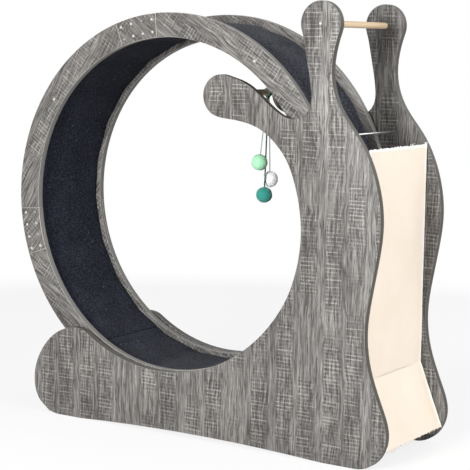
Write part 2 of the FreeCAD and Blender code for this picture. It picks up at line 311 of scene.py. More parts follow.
def sawnOakGroup():
    # the grain runs along Z of the given vector, X is across it, and Y varies the print
    group, given, result = newGroup("sawnOak", [
        ("Vector", "NodeSocketVector", None),
        ("Marks", "NodeSocketFloat", 1.0),
        ("Shade", "NodeSocketFloat", 0.0),
    ], [("Color", "NodeSocketColor"), ("Roughness", "NodeSocketFloat"), ("Height", "NodeSocketFloat")])
    straightX, y, z = partsOf(group, given["Vector"])
    sway = noiseOf(group, stretched(group, straightX, y, z, 9, 3, 6), detail=1.0)
    x = centred(group, sway, oakPrint["waviness"], straightX)
    ripple = noiseOf(group, stretched(group, straightX, y, z, 26, 3, 24), detail=1.0)
    x = centred(group, ripple, oakPrint["ripple"], x)

    # wavy streaks of three widths and short dark pores
    fine = noiseOf(group, stretched(group, x, y, z, 330, 9, 16), detail=4.0, roughness=0.7)
    medium = noiseOf(group, stretched(group, x, y, z, 130, 5, 5), detail=2.0, roughness=0.5)
    broad = noiseOf(group, stretched(group, x, y, z, 22, 3, 1.8), detail=1.0)
    pores = noiseOf(group, stretched(group, x, y, z, 330, 9, 34), detail=1.0)
    grain = centred(group, fine, oakPrint["fine"], 0.5)
    grain = centred(group, medium, oakPrint["medium"], grain)
    grain = centred(group, broad, oakPrint["broad"], grain)
    grain = timesAdd(group, smoothStep(group, pores, 0.56, 0.68), oakPrint["pores"], grain)

    # columns of saw marks, each with its own left edge and patches along the grain
    column = mathOf(group, "DIVIDE", straightX, oakPrint["columnWidth"])
    cell = mathOf(group, "FLOOR", column)
    across = mathOf(group, "FRACT", column)
    patch = noiseOf(group, stretched(group, cell, y, z, 7.31, 4, 6), detail=1.0)
    patch = times(group, smoothStep(group, patch, 0.37, 0.48), given["Marks"])
    place = mathOf(group, "DIVIDE", z, oakPrint["rowPitch"])
    wander = noiseOf(group, stretched(group, x, cell, z, 5, 3.7, 16), detail=1.0)
    place = centred(group, wander, oakPrint["rowWander"], place)
    row = mathOf(group, "FLOOR", place)
    strength = smoothStep(group, diceOf(group, row, cell, 0.5), 0.05, 1.10)
    reach = timesAdd(group, diceOf(group, row, cell, 3.5), oakPrint["longer"], oakPrint["shortest"])
    start = times(group, diceOf(group, cell, cell, 7.5), oakPrint["leftEdges"])
    fromLeft = mathOf(group, "SUBTRACT", across, start)
    pastRight = mathOf(group, "SUBTRACT", fromLeft, reach)
    onRow = times(group, smoothStep(group, fromLeft, 0.0, 0.03), smoothStep(group, pastRight, 0.05, -0.10))
    offMiddle = mathOf(group, "ABSOLUTE", mathOf(group, "SUBTRACT", mathOf(group, "FRACT", place), 0.5))
    line = smoothStep(group, offMiddle, 0.21, 0.08)
    broken = noiseOf(group, stretched(group, x, y, z, 200, 5, 60), detail=1.0)
    mark = times(group, times(group, line, strength), smoothStep(group, broken, 0.22, 0.46))
    mark = times(group, times(group, mark, onRow), patch)

    # dark dashes between the marks, in rows of their own
    inColumn = times(group, smoothStep(group, fromLeft, 0.0, 0.04), smoothStep(group, fromLeft, 0.80, 0.60))
    inPatch = times(group, inColumn, patch)
    dashes = noiseOf(group, stretched(group, x, cell, z, 270, 3.7, 95), detail=1.0)
    dashes = times(group, smoothStep(group, dashes, 0.40, 0.60), inPatch)
    gap = mathOf(group, "SUBTRACT", 1.0, line)
    grain = timesAdd(group, times(group, dashes, gap), oakPrint["dashes"], grain)
    grain = timesAdd(group, mark, oakPrint["marks"], grain)
    grain = mathOf(group, "ADD", grain, given["Shade"])

    ramp = addNode(group, "ShaderNodeValToRGB", {"Fac": grain})
    points = ramp.color_ramp.elements
    points[0].position, points[0].color = oakPrint["darkAt"], (*oakPrint["dark"], 1)
    points[1].position, points[1].color = oakPrint["lightAt"], (*oakPrint["light"], 1)
    points.new(oakPrint["middleAt"]).color = (*oakPrint["middle"], 1)
    warmth = noiseOf(group, stretched(group, x, y, z, 20, 2, 5), detail=1.0)
    color = mixColor(group, times(group, warmth, oakPrint["warmth"]), ramp.outputs["Color"],
                     oakPrint["warmTint"], "MULTIPLY")
    group.links.new(color, result["Color"])
    group.links.new(timesAdd(group, grain, oakPrint["gloss"], oakPrint["dullest"]), result["Roughness"])
    group.links.new(grain, result["Height"])
    return group


def fuzzGroup():
    # short tangled fibres, as on felt and needled carpet
    group, given, result = newGroup("fibreFuzz", [
        ("Vector", "NodeSocketVector", None),
        ("Scale", "NodeSocketFloat", 300.0),
    ], [("Speckle", "NodeSocketFloat"), ("Height", "NodeSocketFloat")])
    wander = addNode(group, "ShaderNodeTexNoise",
                     {"Vector": given["Vector"], "Scale": times(group, given["Scale"], 0.4),
                      "Detail": 2.0})
    bent = addNode(group, "ShaderNodeVectorMath",
                   {0: wander.outputs["Color"], 1: (0.006, 0.006, 0.006)}, operation="MULTIPLY")
    place = addNode(group, "ShaderNodeVectorMath",
                    {0: given["Vector"], 1: bent.outputs[0]}, operation="ADD").outputs[0]
    tangle = noiseOf(group, place, scale=given["Scale"], detail=4.0, roughness=0.7)
    strands = addNode(group, "ShaderNodeTexVoronoi",
                      {"Vector": place, "Scale": times(group, given["Scale"], 1.7)},
                      feature="DISTANCE_TO_EDGE")
    group.links.new(tangle, result["Speckle"])
    group.links.new(timesAdd(group, strands.outputs["Distance"], 0.8, tangle), result["Height"])
    return group


def woodGrainGroup():
    # plain wood whose grain runs along Y of the given vector
    group, given, result = newGroup("woodGrain", [
        ("Vector", "NodeSocketVector", None),
        ("Light", "NodeSocketColor", (0.8, 0.6, 0.4, 1)),
        ("Dark", "NodeSocketColor", (0.5, 0.35, 0.2, 1)),
    ], [("Color", "NodeSocketColor"), ("Height", "NodeSocketFloat")])
    parts = partsOf(group, given["Vector"])
    streaks = noiseOf(group, stretched(group, *parts, 260, 7, 260), detail=4.0, roughness=0.6)
    rings = noiseOf(group, stretched(group, *parts, 60, 2, 60), detail=1.0)
    tone = timesAdd(group, rings, 0.5, times(group, streaks, 0.5))
    color = mixColor(group, smoothStep(group, tone, 0.38, 0.64), given["Light"], given["Dark"])
    group.links.new(color, result["Color"])
    group.links.new(streaks, result["Height"])
    return group


sawnOak = sawnOakGroup()
fibreFuzz = fuzzGroup()
woodGrain = woodGrainGroup()


# materials

def sawnOakMaterial(name, grainDegrees=90.0, shift=(0, 0, 0), marks=1.0, shade=0.0):
    # grainDegrees is the grain's direction above +X, on a face that looks along Y
    material, tree, shader, place = newMaterial(name)
    turn = (0, math.radians(grainDegrees - 90.0), 0)
    turned = addNode(tree, "ShaderNodeMapping", {"Vector": place, "Location": shift, "Rotation": turn},
                     vector_type="POINT").outputs[0]
    oak = useGroup(tree, sawnOak, {"Vector": turned, "Marks": marks, "Shade": shade})
    addBump(tree, shader, oak["Height"], 0.0004, 0.35)
    setInputs(tree, shader, {"Base Color": oak["Color"], "Roughness": oak["Roughness"],
                             "Specular IOR Level": 0.35})
    return material


def bandMaterial(name, color, spread=0.25):
    # the printed band glued round a board's edge
    material, tree, shader, place = newMaterial(name)
    streaks = noiseOf(tree, stretched(tree, *partsOf(tree, place), 30, 600, 30), detail=3.0)
    streaked = mixColor(tree, streaks, toned(color, 1 - spread), toned(color, 1 + spread))
    addBump(tree, shader, streaks, 0.0003, 0.3)
    setInputs(tree, shader, {"Base Color": streaked, "Roughness": 0.5})
    return material


pile = {"scale": 240.0, "patches": 0.16, "thin": 0.42, "thick": 0.64, "height": 0.0015, "strength": 0.6,
        "lint": (0.25, 0.26, 0.29), "lintShare": 0.5}


def carpetMaterial(name, base, speck):
    material, tree, shader, place = newMaterial(name)
    fuzz = useGroup(tree, fibreFuzz, {"Vector": place, "Scale": pile["scale"]})
    patches = noiseOf(tree, place, scale=14.0, detail=2.0)
    worn = centred(tree, patches, pile["patches"], fuzz["Speckle"])
    color = mixColor(tree, smoothStep(tree, worn, pile["thin"], pile["thick"]), base, speck)
    lint = smoothStep(tree, noiseOf(tree, place, scale=pile["scale"] * 0.5, detail=0.0), 0.83, 0.86)
    color = mixColor(tree, times(tree, lint, pile["lintShare"]), color, pile["lint"])
    addBump(tree, shader, fuzz["Height"], pile["height"], pile["strength"])
    setInputs(tree, shader, {"Base Color": color, "Roughness": 0.95, "Specular IOR Level": 0.1,
                             "Sheen Weight": 0.05, "Sheen Roughness": 0.5})
    return material


def feltMaterial(name, color, relief, halo):
    material, tree, shader, place = newMaterial(name)
    fuzz = useGroup(tree, fibreFuzz, {"Vector": place, "Scale": 420.0})
    pale = tuple(min(1.0, channel * 1.08 + 0.01) for channel in color)
    speckled = mixColor(tree, smoothStep(tree, fuzz["Speckle"], 0.3, 0.68), toned(color, 0.86), pale)
    addBump(tree, shader, fuzz["Height"], 0.0002, relief)
    setInputs(tree, shader, {"Base Color": speckled, "Roughness": 0.9, "Specular IOR Level": 0.15,
                             "Sheen Weight": halo})
    return material


def cordMaterial(name, color, diameter):
    # strands that cross each other round the cord
    material, tree, shader, place = newMaterial(name)
    x, y, z = partsOf(tree, place)
    turns = 2 * math.pi / (1.6 * diameter)
    slope = times(tree, mathOf(tree, "ADD", x, y), turns * 1.2)
    braid = mathOf(tree, "SINE", timesAdd(tree, z, turns, slope))
    other = mathOf(tree, "SINE", mathOf(tree, "SUBTRACT", times(tree, z, turns), slope))
    strands = timesAdd(tree, times(tree, braid, other), 0.5, 0.5)
    addBump(tree, shader, strands, diameter * 0.15, 0.7)
    setInputs(tree, shader, {"Base Color": mixColor(tree, strands, toned(color, 0.55), color),
                             "Roughness": 0.85})
    return material


def plainWoodMaterial(name, light, dark):
    material, tree, shader, place = newMaterial(name)
    wood = useGroup(tree, woodGrain, {"Vector": place, "Light": (*light, 1), "Dark": (*dark, 1)})
    addBump(tree, shader, wood["Height"], 0.0003, 0.4)
    setInputs(tree, shader, {"Base Color": wood["Color"], "Roughness": 0.6})
    return material


def chipBoardMaterial(name, light, dark):
    material, tree, shader, place = newMaterial(name)
    chips = addNode(tree, "ShaderNodeTexVoronoi", {"Vector": place, "Scale": 330.0})
    shade = addNode(tree, "ShaderNodeSeparateColor", {0: chips.outputs["Color"]}).outputs[0]
    dust = noiseOf(tree, place, scale=90.0, detail=4.0)
    tone = timesAdd(tree, dust, 0.5, times(tree, shade, 0.5))
    addBump(tree, shader, tone, 0.0005, 0.5)
    setInputs(tree, shader, {"Base Color": mixColor(tree, tone, dark, light), "Roughness": 0.85})
    return material


def metalMaterial(name, color, roughness, scratchScales):
    material, tree, shader, place = newMaterial(name)
    scratches = noiseOf(tree, stretched(tree, *partsOf(tree, place), *scratchScales), detail=3.0,
                        roughness=0.6)
    dull = noiseOf(tree, place, scale=60.0, detail=2.0)
    addBump(tree, shader, scratches, 0.0001, 0.2)
    setInputs(tree, shader, {"Base Color": mixColor(tree, dull, toned(color, 0.82), color),
                             "Roughness": timesAdd(tree, scratches, 0.22, roughness - 0.08),
                             "Metallic": 1.0})
    return material


def mouldedMaterial(name, color, roughness=0.45, dirt=0.85, dirtScale=45.0):
    # plastic; dirt is the darkest tone as a share of the color
    material, tree, shader, place = newMaterial(name)
    grain = noiseOf(tree, place, scale=1800.0, detail=1.0)
    blotch = noiseOf(tree, place, scale=dirtScale, detail=1.0)
    blotched = mixColor(tree, smoothStep(tree, blotch, 0.35, 0.6), toned(color, dirt), color)
    addBump(tree, shader, grain, 0.0001, 0.25)
    setInputs(tree, shader, {"Base Color": blotched,
                             "Roughness": timesAdd(tree, blotch, 0.15, roughness - 0.07)})
    return material


def coverPath():
    # top, crease and bottom of the cover's face, measured on its node
    _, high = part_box("scratch_cover")
    points = [Vector(vertex.co) for vertex in nodes["scratch_cover"].data.vertices]
    top = max((point for point in points if point.z > high.z - 1e-4), key=lambda point: point.x)
    bottom = max(points, key=lambda point: point.x - point.z * 0.2)
    straight = [point for point in points if abs(point.x - top.x) < 1e-4 and point.z < high.z - 0.01]
    return top, min(straight, key=lambda point: point.z), bottom


coverTop, coverCrease, coverBottom = coverPath()
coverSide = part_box("scratch_cover")[1].y
cover = {
    "across": 96, "along": 240, "thickness": 0.0028, "sink": 0.0006, "foldLength": 0.010,
    "hem": 0.009, "hemRise": 0.0022, "creaseDepth": 0.0006, "creaseWidth": 0.007,
    "wave": 0.0010, "waveScale": (9, 5), "rippleShare": 0.35, "rippleScale": (34, 21),
    "fray": 0.0030, "frayScales": (150, 500), "edgeWander": 0.0016, "edgeScales": (26, 140),
    "threadRadius": 0.00035, "threadPitch": 0.0022, "selvedge": 0.006, "frayMargin": 0.004,
    "shade": (0.96, 0.84, 0.71), "light": (0.98, 0.875, 0.76), "slub": (0.74, 0.62, 0.48),
    "weave": (0.70, 0.60, 0.47), "edgeHighlight": (1.0, 0.99, 0.95), "worn": (0.46, 0.39, 0.31),
}


def scratchClothMaterial(name):
    # tightly woven cream cloth: warp along Z, weft along Y
    material, tree, shader, place = newMaterial(name)
    x, y, z = partsOf(tree, place)
    pitch = 2 * math.pi / cover["threadPitch"]
    warp = mathOf(tree, "SINE", times(tree, y, pitch))
    weft = mathOf(tree, "SINE", times(tree, z, pitch))
    weave = timesAdd(tree, times(tree, warp, weft), 0.5, 0.5)
    slub = noiseOf(tree, stretched(tree, x, y, z, 40, 320, 30), detail=3.0)
    cloud = noiseOf(tree, place, scale=9.0, detail=3.0)
    color = mixColor(tree, smoothStep(tree, cloud, 0.35, 0.7), cover["shade"], cover["light"])
    color = mixColor(tree, times(tree, slub, 0.16), color, cover["slub"])
    color = mixColor(tree, times(tree, weave, 0.07), color, cover["weave"])

    # painted highlight: paler cloth along the selvedges and the top edge, where the raised hem and the cut edge
    # catch the light; and painted shade along the crease
    fromMiddle = centred(tree, slub, 0.004, mathOf(tree, "ABSOLUTE", y))
    inner = coverSide - cover["selvedge"]
    selvedge = smoothStep(tree, fromMiddle, inner - 0.002, inner)
    topEdge = smoothStep(tree, centred(tree, slub, 0.008, z), coverTop.z - 0.007, coverTop.z - 0.004)
    color = mixColor(tree, mathOf(tree, "MAXIMUM", selvedge, topEdge), color, cover["edgeHighlight"])
    # painted shade: a darker line along the crease, strongest across the middle of the cloth
    aboveCrease = mathOf(tree, "SUBTRACT", centred(tree, cloud, 0.008, z), coverCrease.z)
    onCrease = smoothStep(tree, mathOf(tree, "ABSOLUTE", aboveCrease), 0.0030, 0.0008)
    fading = times(tree, smoothStep(tree, y, -0.13, -0.03), smoothStep(tree, y, 0.13, 0.04))
    color = mixColor(tree, times(tree, times(tree, onCrease, fading), 0.45), color, cover["worn"])
    addBump(tree, shader, timesAdd(tree, slub, 0.6, weave), 0.0004, 0.35)
    setInputs(tree, shader, {"Base Color": color, "Roughness": 0.9, "Specular IOR Level": 0.15})
    return material


ringBand = bandMaterial("greyRingBand", (0.165, 0.160, 0.150))
# the panel rim band: a dark brown of its own, made darker still as painted shade for the shadowed gaps beside the
# rings and the cover
panelBandAndGapShade = bandMaterial("brownPanelBandAndGapShade", (0.046, 0.041, 0.033))
bandSeam = bandMaterial("greyBandSeam", (0.20, 0.19, 0.17))
paleSeam = bandMaterial("paleBandSeam", (0.30, 0.285, 0.26), 0.2)
chippedEdge = bandMaterial("paleChippedEdge", (0.46, 0.42, 0.36), 0.35)
innerCarpetCloth = carpetMaterial("navyCarpet", (0.0050, 0.0058, 0.0090), (0.036, 0.042, 0.068))
outerCarpetCloth = carpetMaterial("blueGreyCarpet", (0.013, 0.0147, 0.020), (0.080, 0.087, 0.110))
chipBoard = chipBoardMaterial("chipBoard", (0.46, 0.34, 0.21), (0.20, 0.13, 0.07))
paleBirch = plainWoodMaterial("paleBirch", (0.83, 0.66, 0.46), (0.66, 0.48, 0.30))
battenPine = plainWoodMaterial("battenPine", (0.72, 0.54, 0.33), (0.52, 0.35, 0.18))
zincSteel = metalMaterial("zincSteel", (0.80, 0.80, 0.81), 0.26, (900, 25, 900))
bearingSteel = metalMaterial("bearingSteel", (0.62, 0.62, 0.64), 0.22, (300, 300, 300))
rollerNylon = mouldedMaterial("rollerNylon", (0.030, 0.030, 0.033))
socketPlastic = mouldedMaterial("socketPlastic", (0.045, 0.045, 0.048), 0.5)
whiteCap = mouldedMaterial("whiteCap", (0.50, 0.49, 0.47), 0.4, 0.35, 33.0)
scratchCloth = scratchClothMaterial("creamScratchCloth")
print("materials ready")


# side panels, rings and screw caps

boards = {"edgeRound": 0.0007, "flatFace": 0.9, "sharp": 40}


def printBoard(piece, printed, band, seam):
    # printed faces look along Y; the rim gets the band, and the rounded corner the seam
    for material in (printed, band, seam):
        piece.data.materials.append(material)
    selectFaces(piece, lambda face: abs(face.normal.y) < boards["flatFace"])
    piece.active_material_index = 1
    bpy.ops.object.material_slot_assign()
    bpy.ops.object.mode_set(mode="OBJECT")
    roundEdges(piece, boards["edgeRound"], boards["sharp"], material=2)
    smoothShade(piece)


sidePanelPrint = {"near": (0.013, 0, 0.05), "far": (0.351, 0.8, 0.28)}  # shift of the print, metres


def buildSidePanels():
    for side in sides:
        panel = copyOf(side + "_side_panel", side + "Panel")
        printed = sawnOakMaterial(side + "PanelPrint", 90, sidePanelPrint[side])
        printBoard(panel, printed, panelBandAndGapShade, bandSeam)
        finishPiece(panel, "stand", side + "_side_panel")


ringPrint = {
    "splices": 12.3, "quarter": 90.0, "plateTurn": -142.0,  # degrees
    "marks": 0.9, "plateMarks": 0.8, "plateShade": -0.03,
    "near": ((0.0606, 0.0, 0.07), (0.11, 0.3, 0.07), (0.22, 0.6, 0.07), (0.33, 0.9, 0.07)),
    "far": ((0.03, 1.2, 0.07), (0.14, 1.5, 0.07), (0.25, 1.8, 0.07), (0.36, 2.1, 0.07)),
}


def buildRings():
    for side in sides:
        for index, shift in enumerate(ringPrint[side]):
            node = f"{side}_ring_segment_{index + 1}"
            segment = copyOf(node, f"{side}RingSegment{index + 1}")
            middle = ringPrint["splices"] + ringPrint["quarter"] * (index + 0.5)
            printed = sawnOakMaterial(f"{side}RingPrint{index + 1}", middle - 90, shift, ringPrint["marks"])
            printBoard(segment, printed, ringBand, paleSeam)
            finishPiece(segment, "running_wheel", node)
        for plate in looseParts(copyOf(side + "_splice_plates", side + "SplicePlate")):
            corners = [point.co for point in plate.data.vertices]
            middle = sum(corners, Vector()) / len(corners) - wheelCenter
            angle = math.degrees(math.atan2(middle.z, middle.x)) % 360
            index = round((angle - ringPrint["splices"]) / ringPrint["quarter"]) % 4
            plate.name = f"{side}SplicePlate{index + 1}"
            printed = sawnOakMaterial(f"{side}PlatePrint{index + 1}", angle + ringPrint["plateTurn"],
                                      (0.07 * index, 0.2, 0.31), ringPrint["plateMarks"],
                                      ringPrint["plateShade"])
            printBoard(plate, printed, ringBand, chippedEdge)
            finishPiece(plate, "running_wheel", side + "_splice_plates")


capHead = {"sides": 20, "radius": 0.0032, "height": 0.0012, "recess": 0.0010, "dome": 0.25, "dimple": 0.15,
           "edgeRound": 0.0003}


def solidsOf(nodeName):
    # middle and size of each separate solid of a node
    found = []
    for part in looseParts(copyOf(nodeName, "solids")):
        corners = [point.co for point in part.data.vertices]
        low, high = (Vector(pick(c[i] for c in corners) for i in range(3)) for pick in (min, max))
        found.append(((low + high) / 2, high - low))
        bpy.data.objects.remove(part)
    return sorted(found, key=lambda item: tuple(round(value, 4) for value in item[0]))


def capMesh(name, facing):
    # domed screw cap with a small round dimple, standing out along Y
    height = capHead["height"]
    bpy.ops.mesh.primitive_cylinder_add(vertices=capHead["sides"], radius=capHead["radius"], depth=height,
                                        rotation=(math.radians(90), 0, 0))
    cap = startPiece(name)
    selectFaces(cap, lambda face: face.center.y * facing > height * 0.49)
    bpy.ops.mesh.inset(thickness=capHead["recess"], depth=height * capHead["dome"])
    bpy.ops.mesh.inset(thickness=capHead["recess"], depth=-height * capHead["dimple"])
    bpy.ops.object.mode_set(mode="OBJECT")
    roundEdges(cap, capHead["edgeRound"])
    return cap


def buildCaps():
    for side, facing in (("near", -1), ("far", 1)):
        for kind, node, body in (("Ring", side + "_ring_screws", "running_wheel"),
                                 ("Dowel", "dowel_screws", "stand")):
            name = f"{side}{kind}Caps"
            cap = capMesh(name, facing)
            caps = []
            for middle, size in solidsOf(node):
                if kind == "Dowel" and middle.y * facing < 0:
                    continue
                y = middle.y + facing * (size.y - capHead["height"]) / 2
                caps.append(newObject(name, cap.data.copy()))
                caps[-1].data.transform(Matrix.Translation((middle.x, y, middle.z)))
            bpy.data.objects.remove(cap)
            activate(caps[0])
            for twin in caps[1:]:
                twin.select_set(True)
            bpy.ops.object.join()
            caps[0].name = name
            caps[0].data.materials.append(whiteCap)
            smoothShade(caps[0], 40)
            finishPiece(caps[0], body, node)


# carpets

carpets = {"slats": 24, "creaseWidth": 0.012, "creaseSteps": 3, "strips": 20, "cuts": 7, "edgeRound": 0.0012,
           "seamAngle": 239.9, "seamGap": 0.0016, "wave": 0.0007, "waveScales": (26.0, 70.0)}
slatTurn = 360.0 / carpets["slats"]


def cornerOf(nodeName, pick):
    # radius and angle of a corner of a carpet band, measured on its node
    points = [vertex.co - wheelCenter for vertex in nodes[nodeName].data.vertices]
    point = pick(points, key=lambda spot: math.hypot(spot.x, spot.z))
    return math.hypot(point.x, point.z), math.degrees(math.atan2(point.z, point.x)) % slatTurn


def buildCarpet(nodeName, cloth, waveInside):
    low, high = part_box(nodeName)
    outerRadius, cornerAngle = cornerOf(nodeName, max)
    innerRadius, _ = cornerOf(nodeName, min)
    width = high.y - low.y
    bpy.ops.mesh.primitive_cylinder_add(
        vertices=carpets["slats"], radius=innerRadius, depth=width, end_fill_type="NOTHING",
        location=wheelCenter + Vector((0, (low.y + high.y) / 2, 0)),
        rotation=(math.radians(90), -math.radians(cornerAngle), 0))
    carpet = startPiece(camelName(nodeName))

    # the seam: two cuts across the strip and the sliver between them taken out
    for offset in (-0.5, 0.5):
        along = math.radians(carpets["seamAngle"]) + offset * carpets["seamGap"] / innerRadius
        editAll(carpet, lambda: bpy.ops.mesh.bisect(
            plane_co=wheelCenter, plane_no=(-math.sin(along), 0, math.cos(along))))
    seam = math.radians(carpets["seamAngle"])
    outward = Vector((math.cos(seam), 0, math.sin(seam)))

    def inSeam(face):
        offset = face.center - wheelCenter
        across = offset.x * -outward.z + offset.z * outward.x
        return offset.dot(outward) > 0 and abs(across) < carpets["seamGap"] * 0.45
    selectFaces(carpet, inSeam)
    bpy.ops.mesh.delete(type="FACE")

    # soft folds where the strip goes over each joint between slats
    def isFold(a, b):
        here = (a + b) / 2 - wheelCenter
        angle = math.degrees(math.atan2(here.z, here.x)) - cornerAngle
        offCorner = abs((angle + slatTurn / 2) % slatTurn - slatTurn / 2)
        return abs(a.y - b.y) > width * 0.9 and offCorner < 0.3
    selectEdges(carpet, isFold)
    bpy.ops.mesh.bevel(offset=carpets["creaseWidth"], segments=carpets["creaseSteps"], affect="EDGES")
    editAll(carpet, lambda: bpy.ops.mesh.normals_make_consistent(inside=False))

    # cross cuts, so that the pile can rise and fall a little
    for step in range(1, carpets["strips"]):
        y = low.y + width * step / carpets["strips"]
        editAll(carpet, lambda: bpy.ops.mesh.bisect(plane_co=(0, y, 0), plane_no=(0, 1, 0)))
    selectEdges(carpet, lambda a, b: abs(a.y - b.y) < 1e-6 and (a - b).length > 0.03)
    bpy.ops.mesh.subdivide(number_cuts=carpets["cuts"])
    cosHalf = math.cos(math.radians(slatTurn / 2))
    applyModifier(carpet, "SOLIDIFY", thickness=(outerRadius - innerRadius) * cosHalf, offset=1.0,
                  use_even_offset=True)
    roundEdges(carpet, carpets["edgeRound"], 60)
    backRadius = outerRadius * cosHalf
    broad, small = carpets["waveScales"]
    for vertex in carpet.data.vertices:
        offset = vertex.co - wheelCenter
        radial = Vector((offset.x, 0, offset.z))
        onPile = radial.length < (innerRadius + 0.001) if waveInside else radial.length > backRadius - 0.001
        if onPile:
            lift = noise.noise(vertex.co * broad) + 0.5 * noise.noise(vertex.co * small)
            vertex.co += radial.normalized() * carpets["wave"] * lift
    carpet.data.materials.append(cloth)
    smoothShade(carpet, 50)
    finishPiece(carpet, "running_wheel", nodeName)


# scratching surface

def buildCover():
    low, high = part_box("scratch_cover")
    upper = coverTop.z - coverCrease.z
    length = upper + math.hypot(coverBottom.x - coverCrease.x, coverCrease.z - coverBottom.z)
    width = high.y - low.y
    bpy.ops.mesh.primitive_grid_add(x_subdivisions=cover["across"], y_subdivisions=cover["along"], size=1)
    sheet = startPiece("scratchCover")
    corner = Vector((coverCrease.x, 0, coverCrease.z))
    down = (Vector((coverBottom.x, 0, coverBottom.z)) - corner).normalized()
    half = cover["foldLength"] / 2
    foldTop, foldEnd = Vector((coverTop.x, 0, coverCrease.z + half)), corner + down * half

    def onPath(s):
        # a point on the face and its outward direction, s metres below the top edge
        past = s - upper
        if past < -half:
            return Vector((coverTop.x, 0, coverTop.z - s)), Vector((1, 0, 0))
        if past > half:
            return corner + down * past, Vector((-down.z, 0, down.x))
        share = (past + half) / (2 * half)
        place = foldTop * (1 - share) ** 2 + corner * 2 * share * (1 - share) + foldEnd * share ** 2
        direction = ((corner - foldTop) * (1 - share) + (foldEnd - corner) * share).normalized()
        return place, Vector((-direction.z, 0, direction.x))

    def noiseAt(y, s, scales, level):
        return noise.noise(Vector((y * scales[0], s * scales[1], level)))

    for vertex in sheet.data.vertices:
        across, along = vertex.co.x + 0.5, 0.5 - vertex.co.y
        y, s = low.y + width * across, length * along
        if along < 0.001 or along > 0.999:
            broad, small = cover["frayScales"]
            ragged = noiseAt(y, along, (broad, 9), 0) + 0.6 * noiseAt(y, along, (small, 9), 3)
            s += cover["fray"] * ragged * (1 if along < 0.5 else -1)
        place, outward = onPath(s)
        wave, ripple = noiseAt(y, s, cover["waveScale"], 0), noiseAt(y, s, cover["rippleScale"], 5)
        rise = cover["wave"] * (wave + cover["rippleShare"] * ripple) - cover["sink"]
        pastCrease = abs(s - upper) / cover["creaseWidth"]
        if pastCrease < 1:
            rise -= cover["creaseDepth"] * (1 - pastCrease)
        fromSide = min(across, 1 - across) * width / cover["hem"]
        if fromSide < 1:
            rise += cover["hemRise"] * math.sin(math.pi * fromSide)
            broad, small = cover["edgeScales"]
            wander = 0.8 + noiseAt(s, across, (broad, 7), 2) + 0.7 * noiseAt(s, across, (small, 7), 6)
            inward = cover["edgeWander"] * wander * (1 - fromSide)
            y += inward if across < 0.5 else -inward
        vertex.co = place + outward * rise + Vector((0, y, 0))
    editAll(sheet, lambda: bpy.ops.mesh.normals_make_consistent(inside=False))
    if sheet.data.polygons[0].normal.x < 0:
        editAll(sheet, bpy.ops.mesh.flip_normals)
    applyModifier(sheet, "SOLIDIFY", thickness=cover["thickness"], offset=-1.0)
    sheet.data.materials.append(scratchCloth)
    smoothShade(sheet, 50)
    finishPiece(sheet, "stand", "scratch_cover")
    buildFray(onPath, length)


frayed = (  # end of the cover, middle of a tuft along Y, its spread, threads, longest thread
    ("top", 0.060, 0.010, 16, 0.010), ("top", 0.132, 0.007, 22, 0.011), ("top", 0.0, 0.120, 40, 0.004),
    ("bottom", 0.085, 0.030, 7, 0.006), ("bottom", -0.110, 0.025, 14, 0.009),
    ("bottom", 0.0, 0.130, 14, 0.004),
)


def buildFray(onPath, length):
    # loose threads at the cut ends of the cover
    random.seed(11)
    curve = newCurve("coverFray", cover["threadRadius"], 1, caps=False)
    steps = [step / 3 for step in range(4)]
    edge = coverSide - cover["frayMargin"]
    for end, middle, spread, count, longest in frayed:
        for _ in range(count):
            y = max(-edge, min(edge, random.gauss(middle, spread * 0.5)))
            s = 0.001 if end == "top" else length - 0.001
            place, outward = onPath(s)
            further, _ = onPath(s + (0.01 if end == "bottom" else -0.01))
            along = (further - place).normalized()
            reach = random.uniform(0.4, 1.0) * longest
            lean = Vector((0, random.uniform(-0.7, 0.7), 0)) + outward * random.uniform(-0.2, 0.5)
            bend = Vector((0, random.uniform(-0.5, 0.5), -0.3))
            root = place + Vector((0, y, 0))
            places = [root + (along + lean) * reach * t + bend * reach * t * t for t in steps]
            addSpline(curve, "POLY", places, [1 - 0.6 * t for t in steps])
    fray = meshOf("coverFray", curve)
    fray.data.materials.append(scratchCloth)
    finishPiece(fray, "stand", "scratch_cover")


# dowels and toys

dowels = {"sides": 48, "edgeRound": 0.00009, "endInset": 0.0052}


def buildDowels():
    for name in ("antenna_dowel", "toy_dowel"):
        low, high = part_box(name)
        bpy.ops.mesh.primitive_cylinder_add(
            vertices=dowels["sides"], radius=(high.x - low.x) / 2, depth=high.y - low.y,
            location=(low + high) / 2, rotation=(math.radians(90), 0, 0))
        dowel = startPiece(camelName(name))
        selectFaces(dowel, lambda face: abs(face.normal.y) > 0.9)
        bpy.ops.mesh.inset(thickness=dowels["endInset"])
        bpy.ops.object.mode_set(mode="OBJECT")
        roundEdges(dowel, dowels["edgeRound"])
        dowel.data.materials.append(paleBirch)
        smoothShade(dowel)
        finishPiece(dowel, "stand", name)


toys = {
    "light_green": {"felt": (0.40, 0.82, 0.50), "cord": (0.36, 0.52, 0.40),
                    "knot": (0.60, 0.90, 0.68), "turns": 2, "relief": 0.2, "halo": 0.3},
    "dark_green": {"felt": (0.030, 0.275, 0.225), "cord": (0.022, 0.115, 0.095),
                   "knot": (0.030, 0.130, 0.085), "turns": 3, "relief": 0.3, "halo": 0.3},
    "white": {"felt": (0.98, 0.98, 1.0), "cord": (0.24, 0.25, 0.29),
              "knot": (0.80, 0.84, 0.84), "turns": 2, "relief": 0.02, "halo": 1.0},
}
toyShape = {
    "lump": 0.0011, "sink": 0.0004, "broad": (0.7, 2.2), "small": (0.15, 9.0),  # share and scale of the lumps
    "sag": 0.0006, "wrapGap": 0.0003, "wrapSteps": 20, "knotSteps": 48,
    "wrapPitch": 0.98, "cordSink": 0.4,  # shares of the cord's diameter, like the next three
    "knotSize": 0.46, "knotThread": 0.42, "knotDrop": 0.9,
}


